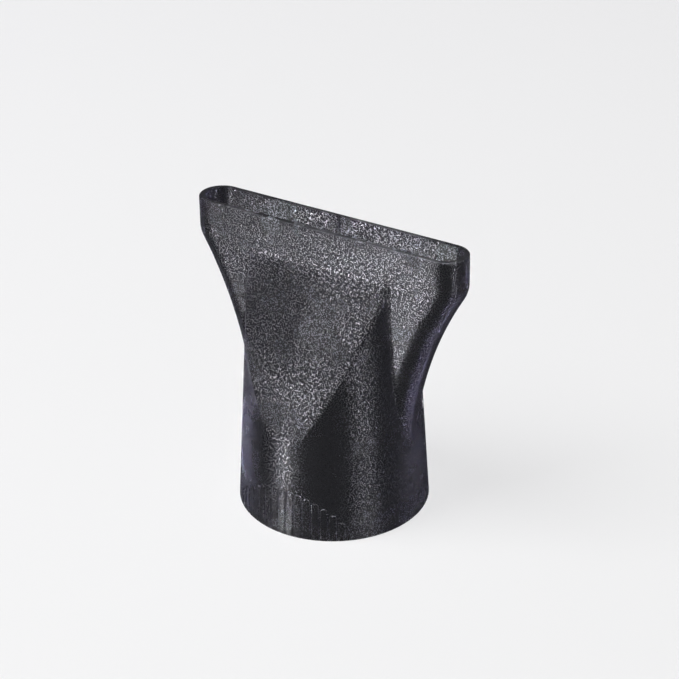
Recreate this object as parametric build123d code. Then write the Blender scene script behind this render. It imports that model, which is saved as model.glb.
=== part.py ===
from build123d import *
import os
from math import cos, degrees, hypot, radians, sin, sqrt

# A push-on styling nozzle for a salon dryer. A round, slightly tapered base turns into a
# wide flat blade whose open mouth is a long slot. A collar in the base grips the dryer's
# barrel, and the shell turns on that collar, so the slot can be set to any angle.
# Millimetres. X runs along the slot, Y is the depth, Z points up to the mouth, and the
# origin is the centre of the bottom rim.

# Shell, outside
HEIGHT = 77.7                 # bottom rim to mouth
BASE_R = 25.0                 # outer radius at the bottom rim
TAPER = 0.0597                # radius lost per millimetre of height
BLADE_HALF_LENGTH = 38.8      # half of the slot's outer length
BLADE_R = 5.72                # half of the blade's thickness, and the radius of its round ends
SWEEP_R = 100.0               # radius of the blade's hollow side profile
SWEEP_Z = 15.0                # height at which that profile stands upright
SWEEP_X = 23.72               # its distance from the middle there
SHOULDER_R = 8.0              # rounding where the profile turns upright under the mouth
BLADE_FOOT_Z = 16.0           # the blade starts inside the cone at this height

# Facets, the two hollow-ground flanks that lead the round base into the flat blade.
# Each is ruled between an upright arc on the centre line and one beside the cone.
FACET_TOP_Z = 67.4
FACET_FOOT_Z = 20.0
FACET_SIDE_X = 26.0
RIDGE_R, RIDGE_Z, RIDGE_Y = 79.0, 17.3, 24.04
FLANK_R, FLANK_Z, FLANK_Y = 134.0, 2.3, 22.84
CREASE_R = 8.0                # soft hollow where a facet meets the blade
EDGE_R = 0.7                  # rounding of every edge that the cone makes with the facets and blade

# Shell, wall and socket
WALL = 1.5
RIM_ROUND = 0.4               # rounding of the mouth's outer edge
BOTTOM_EDGE = 0.3             # chamfer of the bottom rim
SEAT_R = 22.7                 # bore that the collar turns in
STOP_Z = 14.2                 # underside of the rib that carries the thrust washer
SOCKET_TOP_Z = 15.6
STOP_R = 20.7                 # the barrel can't pass the rib

# Grip field, the upright lands that stand in a shallow recess on the front of the base
LAND_COUNT = 15
LAND_PITCH = 5.35             # degrees
LAND_W = 2.05
LAND_GAP = 0.3                # from a land's edge to the edge of the recess
LAND_DEPTH = 0.35
LAND_ROUND = 0.35             # rounding of a land's outer edges
LAND_CORNER_R = 0.7           # rounding of its top corners, seen from the front
LAND_ROOT = 0.3               # how far a land runs into the wall behind the recess
LAND_TOP_Z = 12.9             # top of the middle land
LAND_ARCH_R = 19.0            # the tops follow an arch of this radius

# Half-round guide slots in the mouth and the vane that slides down them
GUIDE_R = 0.5
GUIDE_FOOT_Z = 63.0
VANE_T = 0.8
VANE_TOP_Z = 71.6
VANE_FOOT_Z = 56.0
VANE_SIDE_PLAY = 0.03
VANE_EDGE_ROUND = 0.3

OVER = 1.0                    # how far a cutter runs past the surface that it cuts

# Collar stack, from the bottom rim upwards
CLIP_Z = 1.5
CLIP_T = 0.8
CLIP_GROOVE = 0.5
CLIP_WIDTH = 1.0
WASHER_T = 0.5
WASHER_BORE_R = 21.6
PLAY = 0.04                   # axial play at each washer
COLLAR_R = 22.64              # running fit in the seat
COLLAR_BORE_R = 21.4
COLLAR_BAND = 2.2             # height of the closed rings at the collar's two ends
FINGER_R = 22.3               # the fingers are relieved so that they can spring outwards
FINGER_COUNT = 6
FINGER_ANGLE = 34.0
SLIT_W = 0.8
SPRING_WIRE = 0.6
SPRING_PLAY = 0.02
SPRING_R = 22.15              # to the middle of the wire
SPRING_Z = 6.9
SPRING_GAP_ANGLE = 8.0
SPRING_GAP_AT = 90.0
PAD_R = 21.0                  # the pads grip a barrel of this radius
PAD_SEAT_R = 21.7
PAD_ANGLE = 26.0
PAD_Z = 7.8
PAD_H = 3.2
SEAL_R = 20.4
SEAL_SEAT_R = 21.7
SEAL_Z = 12.1
SEAL_T = 0.9
CLIP_GAP_ANGLE = 24.0
CLIP_GAP_AT = 90.0


def ring(outer, inner, low, high):
    """A plain ring about Z, from one height to another."""
    size = (Align.CENTER, Align.CENTER, Align.MIN)
    body = Cylinder(outer, high - low, align=size) - Cylinder(inner, high - low, align=size)
    return Pos(0, 0, low) * body


def cone(inset, low, high):
    """The tapered base, drawn in by an inset, between two heights."""
    low_r = BASE_R - TAPER * low - inset
    high_r = BASE_R - TAPER * high - inset
    body = Cone(low_r, high_r, high - low, align=(Align.CENTER, Align.CENTER, Align.MIN))
    return Pos(0, 0, low) * body


def facet_section(x, arc_r, arc_z, arc_y, inset):
    """Front-to-back section of the wedge between the facets, in the upright plane at x."""
    def arc_depth(z):
        return arc_y - arc_r + sqrt(arc_r ** 2 - (z - arc_z) ** 2) - inset

    blade_y = BLADE_R - inset
    middle_z = (FACET_FOOT_Z + FACET_TOP_Z) / 2
    foot = (arc_depth(FACET_FOOT_Z), FACET_FOOT_Z)
    middle = (arc_depth(middle_z), middle_z)
    crease = (blade_y, FACET_TOP_Z)
    with BuildSketch(Plane(origin=(x, 0, 0), x_dir=(0, 1, 0), z_dir=(1, 0, 0))) as section:
        with BuildLine():
            Line((0, 0), (FACET_SIDE_X, 0))
            Line((FACET_SIDE_X, 0), foot)
            ThreePointArc(foot, middle, crease)
            Line(crease, (blade_y, HEIGHT))
            Line((blade_y, HEIGHT), (0, HEIGHT))
            mirror(about=Plane.YZ)
        make_face()
        corners = section.vertices().filter_by(lambda v: abs(v.Y - FACET_TOP_Z) < 0.01)
        fillet(corners, CREASE_R)
    return section.sketch.faces()[0]


def facet_wedge(inset):
    """The wedge between the front and back facets, drawn in by an inset."""
    ridge = facet_section(0, RIDGE_R, RIDGE_Z, RIDGE_Y, inset)
    halves = []
    for side in (-1, 1):
        flank = facet_section(side * FACET_SIDE_X, FLANK_R, FLANK_Z, FLANK_Y, inset)
        halves.append(loft([ridge, flank], ruled=True))
    return halves[0] + halves[1]


def side_path():
    """The line that the blade's round right-hand end follows, from foot to mouth."""
    centre_x = SWEEP_X + SWEEP_R
    path_r = SWEEP_R + BLADE_R
    path_top_x = BLADE_HALF_LENGTH - BLADE_R

    def path_x(z):
        return centre_x - sqrt(path_r ** 2 - (z - SWEEP_Z) ** 2)

    corner_z = SWEEP_Z + sqrt(path_r ** 2 - (centre_x - path_top_x) ** 2)
    middle_z = (BLADE_FOOT_Z + corner_z) / 2
    with BuildLine(Plane.XZ) as line:
        ThreePointArc(
            (path_x(BLADE_FOOT_Z), BLADE_FOOT_Z), (path_x(middle_z), middle_z), (path_top_x, corner_z)
        )
        Line((path_top_x, corner_z), (path_top_x, HEIGHT))
        corner = line.vertices().filter_by(lambda v: abs(v.Z - corner_z) < 0.01)
        fillet(corner, SHOULDER_R - BLADE_R)
    return line.line


def blade(inset):
    """The flat blade with its full-round ends, drawn in by an inset."""
    radius = BLADE_R - inset
    path = side_path()
    lowest = path.edges().sort_by(Axis.Z)[0]
    foot = lowest.vertices().sort_by(Axis.Z)[0]
    round_end = sweep(Plane(origin=foot.center(), z_dir=lowest.tangent_at(0)) * Circle(radius), path=path)
    top_x = BLADE_HALF_LENGTH - BLADE_R
    outline = path.edges() + [
        Line((foot.X, 0, foot.Z), (0, 0, foot.Z)),
        Line((0, 0, foot.Z), (0, 0, HEIGHT)),
        Line((0, 0, HEIGHT), (top_x, 0, HEIGHT)),
    ]
    half = extrude(make_face(outline), radius, both=True) + round_end
    whole = half + mirror(half, about=Plane.YZ)
    return whole & Pos(0, 0, BLADE_FOOT_Z) * Box(
        2 * BLADE_HALF_LENGTH, 2 * BLADE_R, HEIGHT, align=(Align.CENTER, Align.CENTER, Align.MIN)
    )


def duct(inset):
    """The nozzle's whole form as one solid, drawn in by an inset."""
    return (cone(inset, 0, HEIGHT) & facet_wedge(inset)) + blade(inset)


def on_cone(point):
    """Whether a point lies on the outside of the tapered base."""
    return abs(hypot(point.X, point.Y) - (BASE_R - TAPER * point.Z)) < 0.01


def soften(body):
    """Round the edges that the cone makes with the facets and the blade, ridges and hollows alike."""
    plain = (GeomType.LINE, GeomType.CIRCLE)
    edges = body.edges().filter_by(lambda e: e.geom_type not in plain and on_cone(e @ 0.5))
    return fillet(edges, EDGE_R)


def land_angles():
    """The directions in which the lands stand, in degrees from the front."""
    return [(index - (LAND_COUNT - 1) / 2) * LAND_PITCH for index in range(LAND_COUNT)]


def land_top(angle):
    """Height of a land's top at an angle from the front, in degrees."""
    across = BASE_R * sin(radians(angle))
    return LAND_TOP_Z - LAND_ARCH_R + sqrt(LAND_ARCH_R ** 2 - across ** 2)


def upright_bar(width, top, corner_r):
    """A bar with rounded top corners that stands through the front of the base."""
    with BuildSketch(Plane.XZ) as outline:
        with Locations((0, (top - OVER) / 2)):
            Rectangle(width, top + OVER)
        fillet(outline.vertices().group_by(Axis.Z)[-1], corner_r)
    return extrude(outline.sketch, BASE_R + OVER)


def grip_recess():
    """The shallow recess round the lands, as the solid to be cut away."""
    high = LAND_TOP_Z + LAND_GAP + OVER
    skin = cone(-OVER, 0, high) - cone(LAND_DEPTH, 0, high)
    recess = None
    for angle in land_angles():
        bar = upright_bar(LAND_W + 2 * LAND_GAP, land_top(angle) + LAND_GAP, LAND_CORNER_R + LAND_GAP)
        turned = Rot(0, 0, angle) * bar
        recess = turned if recess is None else recess + turned
    return recess & skin


def land(angle):
    """One upright land, as high as the arch at its angle, with its outer edges rounded."""
    top = land_top(angle)
    high = top + OVER
    skin = chamfer(rim_edges(cone(0, 0, high), 0), BOTTOM_EDGE) - cone(LAND_DEPTH + LAND_ROOT, 0, high)
    bar = upright_bar(LAND_W, top, LAND_CORNER_R) & skin

    def outermost(edge):
        middle = edge @ 0.5
        return on_cone(middle) and middle.Z > 2 * BOTTOM_EDGE

    rounded = fillet(bar.edges().filter_by(outermost), LAND_ROUND)
    return Rot(0, 0, angle) * rounded


def wall_rods(radius, low, high):
    """Two upright rods whose centre lines lie in the middle of the blade's inner walls."""
    rod = Cylinder(radius, high - low, align=(Align.CENTER, Align.CENTER, Align.MIN))
    wall_y = BLADE_R - WALL
    return Pos(0, -wall_y, low) * rod + Pos(0, wall_y, low) * rod


def rim_edges(body, z):
    """The edges of a body that lie wholly at one height."""
    return body.edges().filter_by(
        lambda e: abs(e.bounding_box().min.Z - z) < 0.01 and abs(e.bounding_box().max.Z - z) < 0.01
    )


def nozzle_shell():
    """The one moulding that is seen: tapered base, facets, blade, mouth and grip field."""
    outer = soften(duct(0))
    outer = fillet(rim_edges(outer, HEIGHT), RIM_ROUND)
    outer = chamfer(rim_edges(outer, 0), BOTTOM_EDGE)
    shell = outer - duct(WALL)
    shell += ring(BASE_R - TAPER * SOCKET_TOP_Z - WALL / 2, SEAT_R, BOTTOM_EDGE, SOCKET_TOP_Z)
    shell += ring(BASE_R - TAPER * SOCKET_TOP_Z - WALL / 2, STOP_R, STOP_Z, SOCKET_TOP_Z)
    shell -= ring(SEAT_R, 0, 0, STOP_Z)
    shell -= ring(SEAT_R + CLIP_GROOVE, 0, CLIP_Z, CLIP_Z + CLIP_T)
    shell -= wall_rods(GUIDE_R, GUIDE_FOOT_Z, HEIGHT)
    shell -= grip_recess()
    for angle in land_angles():
        shell += land(angle)
    return shell


def centre_vane():
    """A thin plate across the middle of the duct, with its upper edges in the guide slots."""
    bottom_up = (Align.CENTER, Align.CENTER, Align.MIN)
    plate = Box(VANE_T, 2 * BASE_R, VANE_TOP_Z - VANE_FOOT_Z, align=bottom_up)
    plate = Pos(0, 0, VANE_FOOT_Z) * plate & duct(WALL + VANE_SIDE_PLAY)
    web = Box(VANE_T, 2 * (BLADE_R - WALL), VANE_TOP_Z - FACET_TOP_Z, align=bottom_up)
    plate += Pos(0, 0, FACET_TOP_Z) * web
    plate += wall_rods(VANE_T / 2, FACET_TOP_Z, VANE_TOP_Z)
    return fillet(rim_edges(plate, VANE_FOOT_Z).filter_by(Axis.Y), VANE_EDGE_ROUND)


def stack_heights():
    """Lowest and highest points of the lower washer, collar and upper washer, in order."""
    lower = CLIP_Z + CLIP_T + PLAY
    collar_low = lower + WASHER_T + PLAY
    upper = STOP_Z - PLAY - WASHER_T
    return (lower, lower + WASHER_T), (collar_low, upper - PLAY), (upper, upper + WASHER_T)


def sector(outer, inner, low, high, span, angle):
    """A piece of a ring that spans an angle, turned about Z to stand at another angle."""
    body = Rot(0, 0, -span / 2) * extrude(
        Face(Wire([
            Line((inner, 0), (outer, 0)),
            CenterArc((0, 0), outer, 0, span),
            Line((outer * cos(radians(span)), outer * sin(radians(span))),
                 (inner * cos(radians(span)), inner * sin(radians(span)))),
            CenterArc((0, 0), inner, 0, span),
        ])),
        high - low,
    )
    return Rot(0, 0, angle) * Pos(0, 0, low) * body


def finger_angles():
    """The directions in which the collar's fingers stand, in degrees."""
    return [index * 360 / FINGER_COUNT for index in range(FINGER_COUNT)]


def barrel_collar():
    """The moulded sleeve that grips the barrel, with fingers cut free in its wall."""
    low, high = stack_heights()[1]
    foot = low + COLLAR_BAND
    root = high - COLLAR_BAND
    outside = COLLAR_R + OVER
    inside = COLLAR_BORE_R - OVER
    groove_r = SPRING_R - SPRING_WIRE / 2
    slit = degrees(SLIT_W / FINGER_R)
    collar = ring(COLLAR_R, COLLAR_BORE_R, low, high)
    for angle in finger_angles():
        for side in (-1, 1):
            beside = angle + side * FINGER_ANGLE / 2
            collar -= sector(outside, inside, foot, root, slit, beside)
        collar -= sector(outside, inside, foot, foot + SLIT_W, FINGER_ANGLE, angle)
        collar -= sector(outside, FINGER_R, foot, root, FINGER_ANGLE, angle)
        collar -= sector(PAD_SEAT_R, inside, PAD_Z, PAD_Z + PAD_H, PAD_ANGLE, angle)
    collar -= ring(outside, groove_r, SPRING_Z - SPRING_WIRE / 2, SPRING_Z + SPRING_WIRE / 2)
    collar -= ring(SEAL_SEAT_R, inside, SEAL_Z, SEAL_Z + SEAL_T)
    return collar


def grip_spring():
    """An open ring of round wire that draws the fingers in."""
    wire = Torus(SPRING_R, SPRING_WIRE / 2 - SPRING_PLAY)
    gap = (SPRING_GAP_ANGLE, SPRING_GAP_AT)
    wire -= sector(SPRING_R + OVER, SPRING_R - OVER, -OVER, OVER, *gap)
    return Pos(0, 0, SPRING_Z) * wire


def grip_pad(angle):
    """The soft pad on the inside of one finger."""
    return sector(PAD_SEAT_R, PAD_R, PAD_Z, PAD_Z + PAD_H, PAD_ANGLE, angle)


def barrel_seal():
    """The soft ring that the end of the barrel comes up against."""
    return ring(SEAL_SEAT_R, SEAL_R, SEAL_Z, SEAL_Z + SEAL_T)


def retaining_clip():
    """The sprung ring that sits in the shell's groove and holds the collar in."""
    outer = SEAT_R + CLIP_GROOVE
    clip = ring(outer, outer - CLIP_WIDTH, CLIP_Z, CLIP_Z + CLIP_T)
    gap = (CLIP_GAP_ANGLE, CLIP_GAP_AT)
    return clip - sector(outer + OVER, outer - CLIP_WIDTH - OVER, 0, CLIP_Z + CLIP_T + OVER, *gap)


def washer(heights):
    """A slippery washer that takes the thrust at one end of the collar."""
    return ring(COLLAR_R, WASHER_BORE_R, *heights)


def main():
    """Write one STEP file for each piece of the nozzle."""
    lower, _, upper = stack_heights()
    pieces = {
        "nozzle_shell": nozzle_shell(),
        "centre_vane": centre_vane(),
        "barrel_collar": barrel_collar(),
        "grip_spring": grip_spring(),
        "barrel_seal": barrel_seal(),
        "upper_thrust_washer": washer(upper),
        "lower_thrust_washer": washer(lower),
        "retaining_clip": retaining_clip(),
    }
    for number, angle in enumerate(finger_angles(), start=1):
        pieces[f"grip_pad_{number}"] = grip_pad(angle)
    os.makedirs("parts", exist_ok=True)
    for name, piece in pieces.items():
        export_step(piece, f"parts/{name}.step")


main()
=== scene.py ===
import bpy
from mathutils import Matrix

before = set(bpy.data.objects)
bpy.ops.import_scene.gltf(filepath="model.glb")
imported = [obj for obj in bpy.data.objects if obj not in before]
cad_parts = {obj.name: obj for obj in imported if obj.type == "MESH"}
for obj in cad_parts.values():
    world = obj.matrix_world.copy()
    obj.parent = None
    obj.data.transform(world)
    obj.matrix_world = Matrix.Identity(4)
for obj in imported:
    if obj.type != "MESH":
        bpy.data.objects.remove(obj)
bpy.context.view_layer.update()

"""A wide-mouthed salon nozzle that pushes onto a hair dryer and swivels on a collar in its base.

The shell is one grained black moulding with a vane across its mouth. The collar, its grip pads,
spring and seal, the thrust washers and the retaining clip sit inside the round base. Lengths are
metres unless a name ends in _mm, and Z points up to the mouth.
"""
import logging
import math
from dataclasses import dataclass, field
from enum import Enum
from typing import Protocol

import bmesh
import bpy
from mathutils import Matrix, Vector

LOG = logging.getLogger("nozzle")
MM = 0.001

# A colour Mix node's sockets, which share their names with its other kinds of socket.
MIX_FROM, MIX_TO, MIX_RESULT = 6, 7, 2

# A Wave node turns through this many radians for each unit of its scaled coordinate.
WAVE_RADIANS = 20


class Slot(Enum):
    """The finishes that the nozzle's pieces take, by their name in the record."""

    SHELL = "grained_nylon"
    COLLAR = "collar_plastic"
    PAD = "silicone"
    STEEL = "spring_steel"
    WASHER = "washer_plastic"


def linear_colour(hex_code: str) -> tuple[float, float, float, float]:
    """Turn an sRGB hex colour into the linear values that the shaders take.

    Args:
        hex_code: Six hex digits, such as "1a1a1c".

    Returns:
        Linear red, green, blue and an alpha of one.
    """
    parts = [int(hex_code[i:i + 2], 16) / 255 for i in (0, 2, 4)]
    linear = [c / 12.92 if c <= 0.04045 else ((c + 0.055) / 1.055) ** 2.4 for c in parts]
    return (*linear, 1.0)


def feed(tree: bpy.types.NodeTree, node: bpy.types.Node, inputs: dict) -> None:
    """Set or link a node's inputs.

    Args:
        tree: The node tree that holds the node.
        node: The node that takes the inputs.
        inputs: Input name or number to a value, or to the output socket that feeds it.
    """
    for name, value in inputs.items():
        if isinstance(value, bpy.types.NodeSocket):
            tree.links.new(value, node.inputs[name])
        else:
            node.inputs[name].default_value = value


def add_node(tree: bpy.types.NodeTree, kind: str, settings: dict | None = None,
             inputs: dict | None = None) -> bpy.types.Node:
    """Add a shader node with its settings, and set or link its inputs.

    Args:
        tree: The node tree that takes the node.
        kind: The node's type name.
        settings: Values for the node's own properties.
        inputs: Input name or number to a value, or to the output socket that feeds it.

    Returns:
        The new node.
    """
    node = tree.nodes.new(kind)
    for name, value in (settings or {}).items():
        setattr(node, name, value)
    feed(tree, node, inputs or {})
    return node


def new_material(name: str, uniform: dict) -> tuple[bpy.types.Material, bpy.types.Node]:
    """Start a material from its one shader.

    Args:
        name: The material's name.
        uniform: Shader input name to the value it has all over the surface.

    Returns:
        The material and its shader node.
    """
    material = bpy.data.materials.new(name)
    material.use_nodes = True
    shader = material.node_tree.nodes["Principled BSDF"]
    feed(material.node_tree, shader, uniform)
    return material, shader


def wave_scale(spacing_mm: float) -> float:
    """Find the scale at which a Wave node's lines lie a given distance apart.

    Args:
        spacing_mm: The distance from one line to the next.

    Returns:
        The node's scale.
    """
    return math.tau / WAVE_RADIANS / (spacing_mm * MM)


class Finish(Protocol):
    """What every finish can do. A pair of numbers in a finish is its least and its most."""

    def material(self) -> bpy.types.Material:
        """Build the shader."""


@dataclass(frozen=True)
class BeadFilledNylon:
    """Black nylon filled with glass beads, as moulded: a dark skin whose beads flash in a highlight.

    The real beads are about 0.1 mm across. The grain is drawn coarser, so that it shows. The tint is
    the cool bloom that such a skin takes on at a glancing angle.
    """

    colour: str = "262629"
    bead_colour: str = "a0a0aa"
    roughness: tuple[float, float] = (0.24, 0.30)
    grain_mm: float = 0.34
    grain_depth_mm: float = 0.045
    mottle_mm: float = 8.0
    skin_range: tuple[float, float] = (0.50, 0.56)
    bead_range: tuple[float, float] = (0.52, 0.60)
    edge_tint: str = "8f85b5"
    edge_weight: float = 0.11

    def material(self) -> bpy.types.Material:
        """Build the shader.

        Returns:
            The finished material.
        """
        material, shader = new_material("bead_filled_black_nylon_as_moulded", {
            "IOR": 1.5, "Specular IOR Level": 0.3, "Sheen Weight": self.edge_weight,
            "Sheen Tint": linear_colour(self.edge_tint), "Sheen Roughness": 0.3})
        tree = material.node_tree
        place = add_node(tree, "ShaderNodeTexCoord").outputs["Object"]
        grain = add_node(tree, "ShaderNodeTexNoise", inputs={
            "Vector": place, "Scale": 1 / (self.grain_mm * MM), "Detail": 1.5, "Roughness": 0.7})
        mottle = add_node(tree, "ShaderNodeTexNoise", inputs={
            "Vector": place, "Scale": 1 / (self.mottle_mm * MM), "Detail": 3.0})
        glassy = add_node(tree, "ShaderNodeMapRange", inputs={
            "Value": grain.outputs["Fac"],
            "From Min": self.skin_range[0], "From Max": self.skin_range[1]})
        bead = add_node(tree, "ShaderNodeMapRange", inputs={
            "Value": grain.outputs["Fac"],
            "From Min": self.bead_range[0], "From Max": self.bead_range[1]})
        colour = add_node(tree, "ShaderNodeMix", {"data_type": "RGBA"}, {
            "Factor": bead.outputs["Result"],
            MIX_FROM: linear_colour(self.colour), MIX_TO: linear_colour(self.bead_colour)})
        rough = add_node(tree, "ShaderNodeMapRange", inputs={
            "Value": mottle.outputs["Fac"],
            "To Min": self.roughness[0], "To Max": self.roughness[1]})
        bump = add_node(tree, "ShaderNodeBump", inputs={
            "Height": grain.outputs["Fac"], "Strength": 1.0, "Distance": self.grain_depth_mm * MM})
        feed(tree, shader, {
            "Base Color": colour.outputs[MIX_RESULT], "Metallic": glassy.outputs["Result"],
            "Roughness": rough.outputs["Result"], "Normal": bump.outputs["Normal"]})
        return material


@dataclass(frozen=True)
class MouldedAcetal:
    """Black acetal from a fine spark-eroded mould: an even satin with faint flow clouds.

    Such a texture is under 0.1 mm across. It is drawn coarser, so that it shows.
    """

    colour: str = "1c1c1f"
    cloud_colour: str = "26262a"
    roughness: tuple[float, float] = (0.34, 0.50)
    texture_mm: float = 0.3
    texture_depth_mm: float = 0.012
    texture_range: tuple[float, float] = (0.3, 0.7)
    cloud_mm: float = 6.0

    def material(self) -> bpy.types.Material:
        """Build the shader.

        Returns:
            The finished material.
        """
        material, shader = new_material("black_acetal_satin_moulded", {"IOR": 1.48})
        tree = material.node_tree
        place = add_node(tree, "ShaderNodeTexCoord").outputs["Object"]
        texture = add_node(tree, "ShaderNodeTexNoise", inputs={
            "Vector": place, "Scale": 1 / (self.texture_mm * MM), "Detail": 2.0})
        cloud = add_node(tree, "ShaderNodeTexNoise", inputs={
            "Vector": place, "Scale": 1 / (self.cloud_mm * MM), "Detail": 4.0})
        colour = add_node(tree, "ShaderNodeMix", {"data_type": "RGBA"}, {
            "Factor": cloud.outputs["Fac"],
            MIX_FROM: linear_colour(self.colour), MIX_TO: linear_colour(self.cloud_colour)})
        rough = add_node(tree, "ShaderNodeMapRange", inputs={
            "Value": texture.outputs["Fac"],
            "From Min": self.texture_range[0], "From Max": self.texture_range[1],
            "To Min": self.roughness[0], "To Max": self.roughness[1]})
        bump = add_node(tree, "ShaderNodeBump", inputs={
            "Height": texture.outputs["Fac"], "Strength": 1.0, "Distance": self.texture_depth_mm * MM})
        feed(tree, shader, {
            "Base Color": colour.outputs[MIX_RESULT],
            "Roughness": rough.outputs["Result"], "Normal": bump.outputs["Normal"]})
        return material


@dataclass(frozen=True)
class PressedSilicone:
    """Dark grey silicone rubber from a blasted mould: matte, with a pale bloom of dust on it.

    The mould's grit is about 0.1 mm across. It is drawn coarser, so that it shows.
    """

    colour: str = "303033"
    bloom_colour: str = "55555a"
    roughness: tuple[float, float] = (0.54, 0.74)
    grit_mm: float = 0.25
    grit_depth_mm: float = 0.015
    bloom_mm: float = 2.5
    bloom_range: tuple[float, float] = (0.52, 0.75)

    def material(self) -> bpy.types.Material:
        """Build the shader.

        Returns:
            The finished material.
        """
        material, shader = new_material("dark_silicone_rubber_blasted_mould", {
            "IOR": 1.41, "Sheen Weight": 0.15, "Sheen Roughness": 0.5})
        tree = material.node_tree
        place = add_node(tree, "ShaderNodeTexCoord").outputs["Object"]
        grit = add_node(tree, "ShaderNodeTexNoise", inputs={
            "Vector": place, "Scale": 1 / (self.grit_mm * MM), "Detail": 2.0})
        bloom = add_node(tree, "ShaderNodeTexNoise", inputs={
            "Vector": place, "Scale": 1 / (self.bloom_mm * MM), "Detail": 6.0, "Roughness": 0.65})
        dusty = add_node(tree, "ShaderNodeMapRange", inputs={
            "Value": bloom.outputs["Fac"],
            "From Min": self.bloom_range[0], "From Max": self.bloom_range[1]})
        colour = add_node(tree, "ShaderNodeMix", {"data_type": "RGBA"}, {
            "Factor": dusty.outputs["Result"],
            MIX_FROM: linear_colour(self.colour), MIX_TO: linear_colour(self.bloom_colour)})
        rough = add_node(tree, "ShaderNodeMapRange", inputs={
            "Value": bloom.outputs["Fac"],
            "To Min": self.roughness[0], "To Max": self.roughness[1]})
        bump = add_node(tree, "ShaderNodeBump", inputs={
            "Height": grit.outputs["Fac"], "Strength": 1.0, "Distance": self.grit_depth_mm * MM})
        feed(tree, shader, {
            "Base Color": colour.outputs[MIX_RESULT],
            "Roughness": rough.outputs["Result"], "Normal": bump.outputs["Normal"]})
        return material


@dataclass(frozen=True)
class SpringSteel:
    """Bright spring steel, drawn, coiled and tumbled: brown-grey oxide in patches and fine die lines.

    Real die lines are hundredths of a millimetre apart. They are drawn coarser, so that they show.
    """

    colour: str = "a8a6a2"
    oxide_colour: str = "6f6a64"
    roughness: tuple[float, float] = (0.20, 0.44)
    line_mm: float = 0.237
    line_depth_mm: float = 0.004
    patch_mm: float = 3.0
    patch_range: tuple[float, float] = (0.48, 0.68)

    def material(self) -> bpy.types.Material:
        """Build the shader.

        Returns:
            The finished material.
        """
        material, shader = new_material("bright_spring_steel_drawn_and_tumbled", {"Metallic": 1.0})
        tree = material.node_tree
        place = add_node(tree, "ShaderNodeTexCoord").outputs["Object"]
        lines = add_node(tree, "ShaderNodeTexWave", {"wave_type": "RINGS", "rings_direction": "Z"}, {
            "Vector": place, "Scale": wave_scale(self.line_mm), "Distortion": 2.0, "Detail": 2.0})
        patch = add_node(tree, "ShaderNodeTexNoise", inputs={
            "Vector": place, "Scale": 1 / (self.patch_mm * MM), "Detail": 5.0})
        oxide = add_node(tree, "ShaderNodeMapRange", inputs={
            "Value": patch.outputs["Fac"],
            "From Min": self.patch_range[0], "From Max": self.patch_range[1]})
        colour = add_node(tree, "ShaderNodeMix", {"data_type": "RGBA"}, {
            "Factor": oxide.outputs["Result"],
            MIX_FROM: linear_colour(self.colour), MIX_TO: linear_colour(self.oxide_colour)})
        rough = add_node(tree, "ShaderNodeMapRange", inputs={
            "Value": patch.outputs["Fac"],
            "To Min": self.roughness[0], "To Max": self.roughness[1]})
        bump = add_node(tree, "ShaderNodeBump", inputs={
            "Height": lines.outputs["Fac"], "Strength": 1.0, "Distance": self.line_depth_mm * MM})
        feed(tree, shader, {
            "Base Color": colour.outputs[MIX_RESULT],
            "Roughness": rough.outputs["Result"], "Normal": bump.outputs["Normal"]})
        return material


@dataclass(frozen=True)
class SkivedFluoroplastic:
    """Natural white PTFE cut from skived sheet: waxy, a little see-through, with faint blade lines."""

    colour: str = "e4e4de"
    grey_colour: str = "cfcfc8"
    roughness: tuple[float, float] = (0.34, 0.46)
    line_mm: float = 0.987
    line_depth_mm: float = 0.006
    cloud_mm: float = 4.0
    glow_depth_mm: float = 0.4

    def material(self) -> bpy.types.Material:
        """Build the shader.

        Returns:
            The finished material.
        """
        material, shader = new_material("natural_ptfe_skived_sheet", {
            "IOR": 1.38, "Subsurface Weight": 0.25, "Subsurface Scale": self.glow_depth_mm * MM})
        tree = material.node_tree
        place = add_node(tree, "ShaderNodeTexCoord").outputs["Object"]
        lines = add_node(tree, "ShaderNodeTexWave", {"wave_type": "BANDS", "bands_direction": "X"}, {
            "Vector": place, "Scale": wave_scale(self.line_mm), "Distortion": 1.5, "Detail": 3.0})
        cloud = add_node(tree, "ShaderNodeTexNoise", inputs={
            "Vector": place, "Scale": 1 / (self.cloud_mm * MM), "Detail": 4.0})
        colour = add_node(tree, "ShaderNodeMix", {"data_type": "RGBA"}, {
            "Factor": cloud.outputs["Fac"],
            MIX_FROM: linear_colour(self.colour), MIX_TO: linear_colour(self.grey_colour)})
        rough = add_node(tree, "ShaderNodeMapRange", inputs={
            "Value": cloud.outputs["Fac"],
            "To Min": self.roughness[0], "To Max": self.roughness[1]})
        bump = add_node(tree, "ShaderNodeBump", inputs={
            "Height": lines.outputs["Fac"], "Strength": 1.0, "Distance": self.line_depth_mm * MM})
        feed(tree, shader, {
            "Base Color": colour.outputs[MIX_RESULT],
            "Roughness": rough.outputs["Result"], "Normal": bump.outputs["Normal"]})
        return material


FINISHES: dict[Slot, Finish] = {
    Slot.SHELL: BeadFilledNylon(),
    Slot.COLLAR: MouldedAcetal(),
    Slot.PAD: PressedSilicone(),
    Slot.STEEL: SpringSteel(),
    Slot.WASHER: SkivedFluoroplastic(),
}


@dataclass
class PaintShop:
    """Makes each finish once, and puts it on the pieces that take it."""

    made: dict[Slot, bpy.types.Material] = field(default_factory=dict)

    def dress(self, node: str, slot: Slot) -> None:
        """Put a finish on a CAD node.

        Args:
            node: The node's name.
            slot: The finish that it takes.
        """
        if slot not in self.made:
            self.made[slot] = FINISHES[slot].material()
        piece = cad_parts[node]
        piece.data.materials.clear()
        piece.data.materials.append(self.made[slot])
        LOG.info("%s: %s", node, slot.value)


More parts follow.
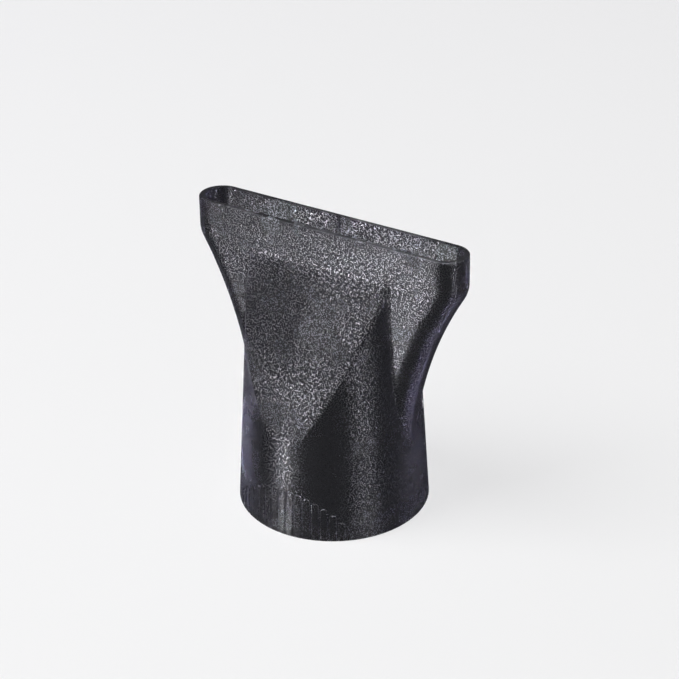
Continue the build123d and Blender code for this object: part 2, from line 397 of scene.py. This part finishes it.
@dataclass
class NozzleBody:
    """The grained shell and the vane that slides down the guide slots in its mouth."""

    pieces: tuple[str, ...] = ("nozzle_shell", "centre_vane")

    def dress(self, shop: PaintShop) -> None:
        """Give the shell and the vane their grain.

        Args:
            shop: Where the finishes are made.
        """
        for node in self.pieces:
            shop.dress(node, Slot.SHELL)


@dataclass
class BarrelGrip:
    """The collar that grips the dryer's barrel, with its spring, its soft pads and its seal."""

    pad_count: int = 6

    def dress(self, shop: PaintShop) -> None:
        """Give the collar, the spring, the seal and each pad its finish.

        Args:
            shop: Where the finishes are made.
        """
        shop.dress("barrel_collar", Slot.COLLAR)
        shop.dress("grip_spring", Slot.STEEL)
        shop.dress("barrel_seal", Slot.PAD)
        for number in range(1, self.pad_count + 1):
            shop.dress(f"grip_pad_{number}", Slot.PAD)


@dataclass
class ThrustStack:
    """The washers on both sides of the collar, and the clip that holds the stack in the base."""

    washers: tuple[str, ...] = ("upper_thrust_washer", "lower_thrust_washer")

    def dress(self, shop: PaintShop) -> None:
        """Give the washers and the clip their finish.

        Args:
            shop: Where the finishes are made.
        """
        for node in self.washers:
            shop.dress(node, Slot.WASHER)
        shop.dress("retaining_clip", Slot.STEEL)


@dataclass(frozen=True)
class SoftBox:
    """A rectangular light that hangs round the nozzle and faces it.

    Azimuth 0 is in front of the nozzle and 90 is to its right. Angles are in degrees, and the
    brightness is in watts per square metre of the light's face. A light without shadow shines
    through whatever is in its way, and gloss doesn't mirror one whose mirrored is False.
    """

    name: str
    azimuth: float
    elevation: float
    width: float
    height: float
    brightness: float
    distance: float = 0.9
    shadow: bool = False
    mirrored: bool = True
    tint: str = "ffffff"

    def hang(self, aim: Vector) -> None:
        """Make the light.

        Args:
            aim: The point that it faces.
        """
        data = bpy.data.lights.new(self.name, "AREA")
        data.shape = "RECTANGLE"
        data.size = self.width
        data.size_y = self.height
        data.color = linear_colour(self.tint)[:3]
        data.energy = self.brightness * self.width * self.height
        data.use_shadow = self.shadow
        data.cycles.use_multiple_importance_sampling = self.shadow
        light = bpy.data.objects.new(self.name, data)
        bpy.context.scene.collection.objects.link(light)
        light.visible_glossy = self.mirrored
        back = direction(self.azimuth, self.elevation)
        light.location = aim + back * self.distance
        light.rotation_euler = back.to_track_quat("Z", "Y").to_euler()


def direction(azimuth: float, elevation: float) -> Vector:
    """Find the unit vector from the nozzle towards a light or the camera.

    Args:
        azimuth: Degrees round the nozzle, 0 in front of it and 90 to its right.
        elevation: Degrees above the horizon.

    Returns:
        The unit vector.
    """
    round_z, up = math.radians(azimuth), math.radians(elevation)
    return Vector((math.sin(round_z) * math.cos(up), -math.cos(round_z) * math.cos(up), math.sin(up)))


@dataclass
class Studio:
    """Pale floor, soft lights and the camera.

    The camera looks along azimuth and elevation at a point that lies target_right of the nozzle's
    axis, as the camera sees it, and target_up above the floor.
    """

    floor_half: float = 3.0
    floor_colour: str = "e9e9e9"
    glow: float = 0.02
    aim_height: float = 0.04
    boxes: tuple[SoftBox, ...] = (
        # Even light from above, and a window that throws the soft shadow on the floor.
        SoftBox("overhead", 0, 90, 3.0, 3.0, 6.3, distance=2.0),
        SoftBox("window", -42, 52, 1.0, 1.0, 7.0, distance=1.6, shadow=True, mirrored=False),
        # White strips that the front facets, the blade and the base mirror.
        SoftBox("key_low", -28, -40, 0.07, 0.75, 26.0),
        SoftBox("key_middle", -27, -3, 0.35, 0.29, 8.5),
        SoftBox("key_high", -24, 25, 0.28, 0.58, 4.0),
        SoftBox("right", 71, 0, 0.33, 1.2, 2.4),
        # Cool light along the base's two sides, white light on its back, and a cool glow from
        # below on the hollow flanks under the mouth.
        SoftBox("left_rim", -105, 0, 0.95, 1.2, 1.3, tint="e6e2ff"),
        SoftBox("right_rim", 144, 0, 0.9, 1.2, 0.85, tint="e6e2ff"),
        SoftBox("back", 208, -12, 0.5, 0.6, 4.0),
        SoftBox("bounce", 108, -56, 0.8, 0.5, 2.0, tint="e2dcff"),
    )
    azimuth: float = 33.182
    elevation: float = 28.322
    distance: float = 0.5236
    target_right: float = 0.001865
    target_up: float = 0.044927
    roll: float = -0.762
    lens_mm: float = 109.17
    sensor_mm: float = 36.0
    nearest: float = 0.01

    def lay_floor(self) -> None:
        """Lay the floor, which the gloss on the nozzle doesn't mirror."""
        material, _ = new_material("pale_matte_floor", {
            "Base Color": linear_colour(self.floor_colour), "Roughness": 0.9, "Specular IOR Level": 0.1})
        mesh = bpy.data.meshes.new("floor")
        shape = bmesh.new()
        bmesh.ops.create_grid(shape, x_segments=1, y_segments=1, size=self.floor_half)
        shape.to_mesh(mesh)
        shape.free()
        mesh.materials.append(material)
        floor = bpy.data.objects.new("floor", mesh)
        floor.visible_glossy = False
        bpy.context.scene.collection.objects.link(floor)

    def light(self) -> None:
        """Hang the lights, and set the world's even glow and a plain view of the colours."""
        world = bpy.data.worlds.new("studio")
        world.use_nodes = True
        background = world.node_tree.nodes["Background"]
        background.inputs["Color"].default_value = (1, 1, 1, 1)
        background.inputs["Strength"].default_value = self.glow
        bpy.context.scene.world = world
        bpy.context.scene.view_settings.view_transform = "Standard"
        for box in self.boxes:
            box.hang(Vector((0, 0, self.aim_height)))

    def place_camera(self) -> None:
        """Place the camera, which looks down at the nozzle from its front right."""
        data = bpy.data.cameras.new("camera")
        data.sensor_width = self.sensor_mm
        data.lens = self.lens_mm
        data.clip_start = self.nearest
        camera = bpy.data.objects.new("camera", data)
        bpy.context.scene.collection.objects.link(camera)
        back = direction(self.azimuth, self.elevation)
        right = direction(self.azimuth + 90, 0)
        up = back.cross(right)
        roll = math.radians(self.roll)
        rolled_right = right * math.cos(roll) + up * math.sin(roll)
        rolled_up = up * math.cos(roll) - right * math.sin(roll)
        turn = Matrix((rolled_right, rolled_up, back)).transposed().to_4x4()
        place = right * self.target_right + Vector((0, 0, self.target_up)) + back * self.distance
        camera.matrix_world = Matrix.Translation(place) @ turn
        bpy.context.scene.camera = camera

    def set_up(self) -> None:
        """Lay the floor, hang the lights and place the camera."""
        self.lay_floor()
        self.light()
        self.place_camera()


def main() -> None:
    """Dress the nozzle's sub-assemblies, then set up the studio round them."""
    logging.basicConfig(level=logging.INFO)
    shop = PaintShop()
    for assembly in (NozzleBody(), BarrelGrip(), ThrustStack()):
        assembly.dress(shop)
    Studio().set_up()


if __name__ == "__main__":
    main()
